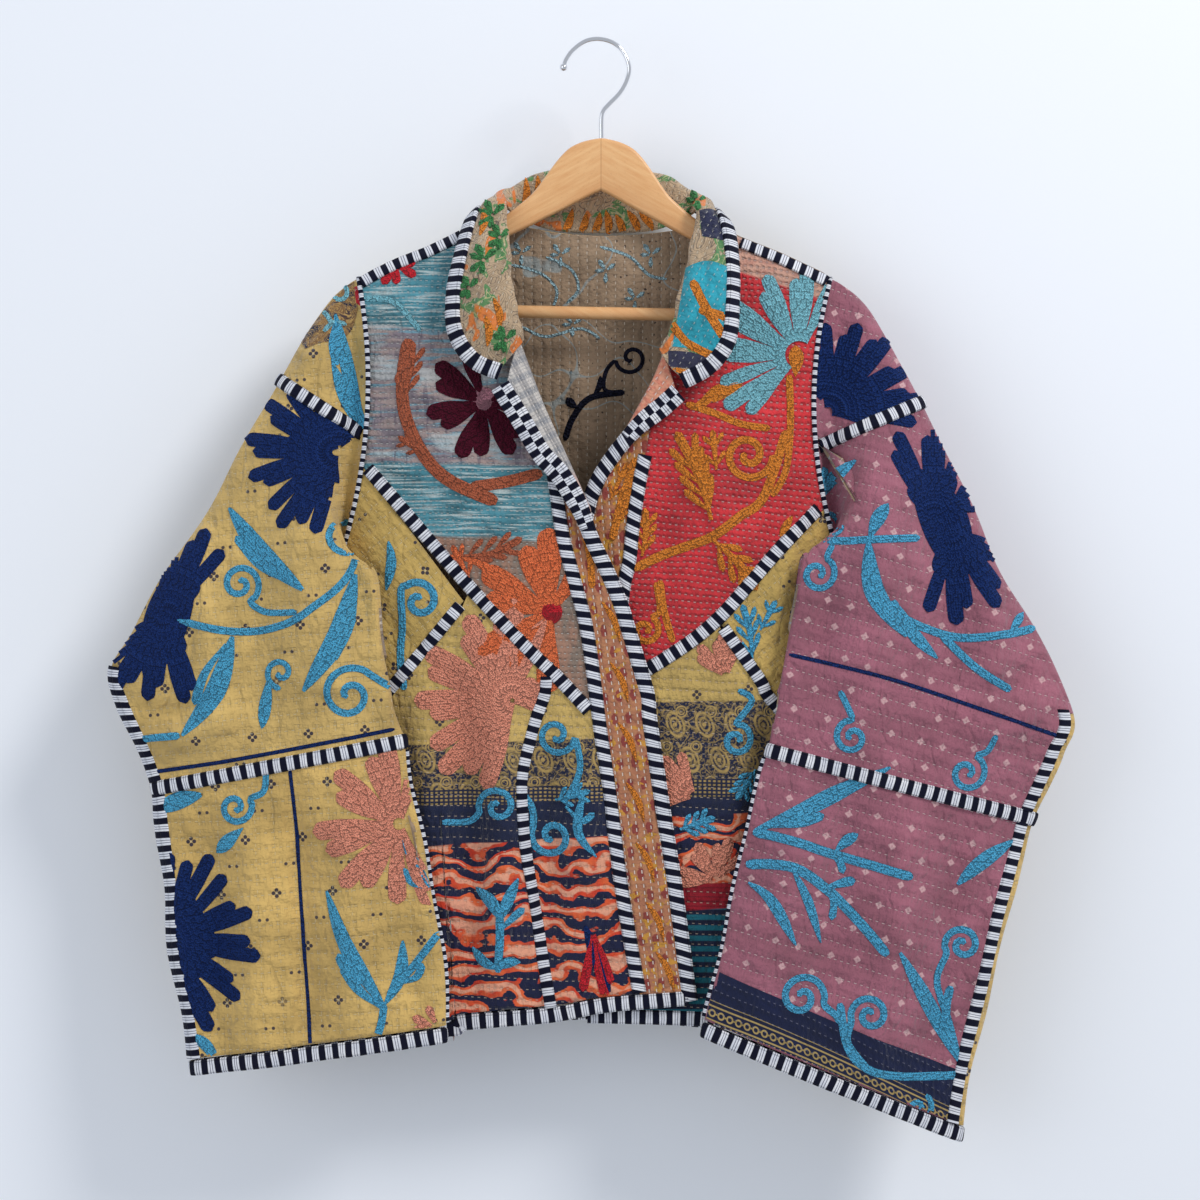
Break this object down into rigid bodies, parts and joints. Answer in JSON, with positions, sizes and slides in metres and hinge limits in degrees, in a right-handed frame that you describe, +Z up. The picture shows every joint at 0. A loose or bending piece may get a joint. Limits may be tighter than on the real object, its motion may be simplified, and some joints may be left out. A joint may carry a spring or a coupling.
{
  "type": "kantha jacket on a wooden hanger",
  "caption": "Boxy quilted patchwork jacket with wide bell sleeves, rolled shawl collar and striped binding, hung open-necked on a wooden hanger with a wire hook.",
  "frame": {"origin": "under the crown of the hanger's wire hook, where it rests on a rail", "axes": "+Z up, along the height; the jacket's front faces -Y; +X runs to the right of someone looking at the front"},
  "size_m": [0.8342, 0.1245, 0.9465],
  "materials": {
    "back_cloth": "quilted cotton, taupe inside",
    "binding": "striped navy and white cotton bias binding",
    "collar_cloth": "embroidered quilted cotton",
    "crimson_cloth": "quilted crimson cotton",
    "front_patch_cloth": "quilted cotton patchwork in ochre, navy and orange",
    "hanger_wood": "satin varnished beech",
    "hook_chrome": "polished steel wire",
    "lapel_cloth": "quilted cotton facing",
    "mauve_cloth": "quilted mauve cotton with tie-dyed dots and embroidery",
    "ochre_cloth": "quilted ochre cotton with small printed flowers and embroidery",
    "piping": "fine striped cotton piping",
    "placket_cloth": "quilted brownish pink cotton",
    "sleeve_cap_cloth": "quilted cotton patch",
    "teal_cloth": "quilted teal cotton patchwork"
  },
  "bodies": {
    "root": {"back": "back_cloth", "binding_collar": "binding", "binding_cuff_l": "binding", "binding_cuff_r": "binding", "binding_edge_l": "binding", "binding_edge_r": "binding", "binding_gore_l": "binding", "binding_gore_r": "binding", "binding_hem_back": "binding", "binding_hem_l": "binding", "binding_hem_r": "binding", "binding_lower_arm_l": "binding", "binding_lower_arm_r": "binding", "binding_outseam_low_l": "binding", "binding_outseam_low_r": "binding", "binding_outseam_up_l": "binding", "binding_outseam_up_r": "binding", "binding_panel_l": "binding", "binding_placket_l": "binding", "binding_placket_r": "binding", "binding_shoulder_l": "binding", "binding_shoulder_r": "binding", "binding_upper_arm_l": "binding", "binding_upper_arm_r": "binding", "binding_yoke_l": "binding", "binding_yoke_r": "binding", "collar": "collar_cloth", "front_l_centre": "front_patch_cloth", "front_l_gore": "front_patch_cloth", "front_l_placket": "placket_cloth", "front_l_side": "front_patch_cloth", "front_l_yoke": "teal_cloth", "front_r_gore": "front_patch_cloth", "front_r_lower": "front_patch_cloth", "front_r_placket": "placket_cloth", "front_r_yoke": "crimson_cloth", "hanger_bar": "hanger_wood", "hanger_body": "hanger_wood", "hook": "hook_chrome", "lapel_l": "lapel_cloth", "lapel_r": "lapel_cloth", "piping_armhole_l": "piping", "piping_armhole_r": "piping", "piping_inseam_l": "piping", "piping_inseam_r": "piping", "sleeve_l_cap": "sleeve_cap_cloth", "sleeve_l_lower_back": "ochre_cloth", "sleeve_l_lower_front": "ochre_cloth", "sleeve_l_upper": "ochre_cloth", "sleeve_r_cap": "mauve_cloth", "sleeve_r_lower_back": "ochre_cloth", "sleeve_r_lower_front": "mauve_cloth", "sleeve_r_upper": "mauve_cloth"}
  },
  "joints": []
}
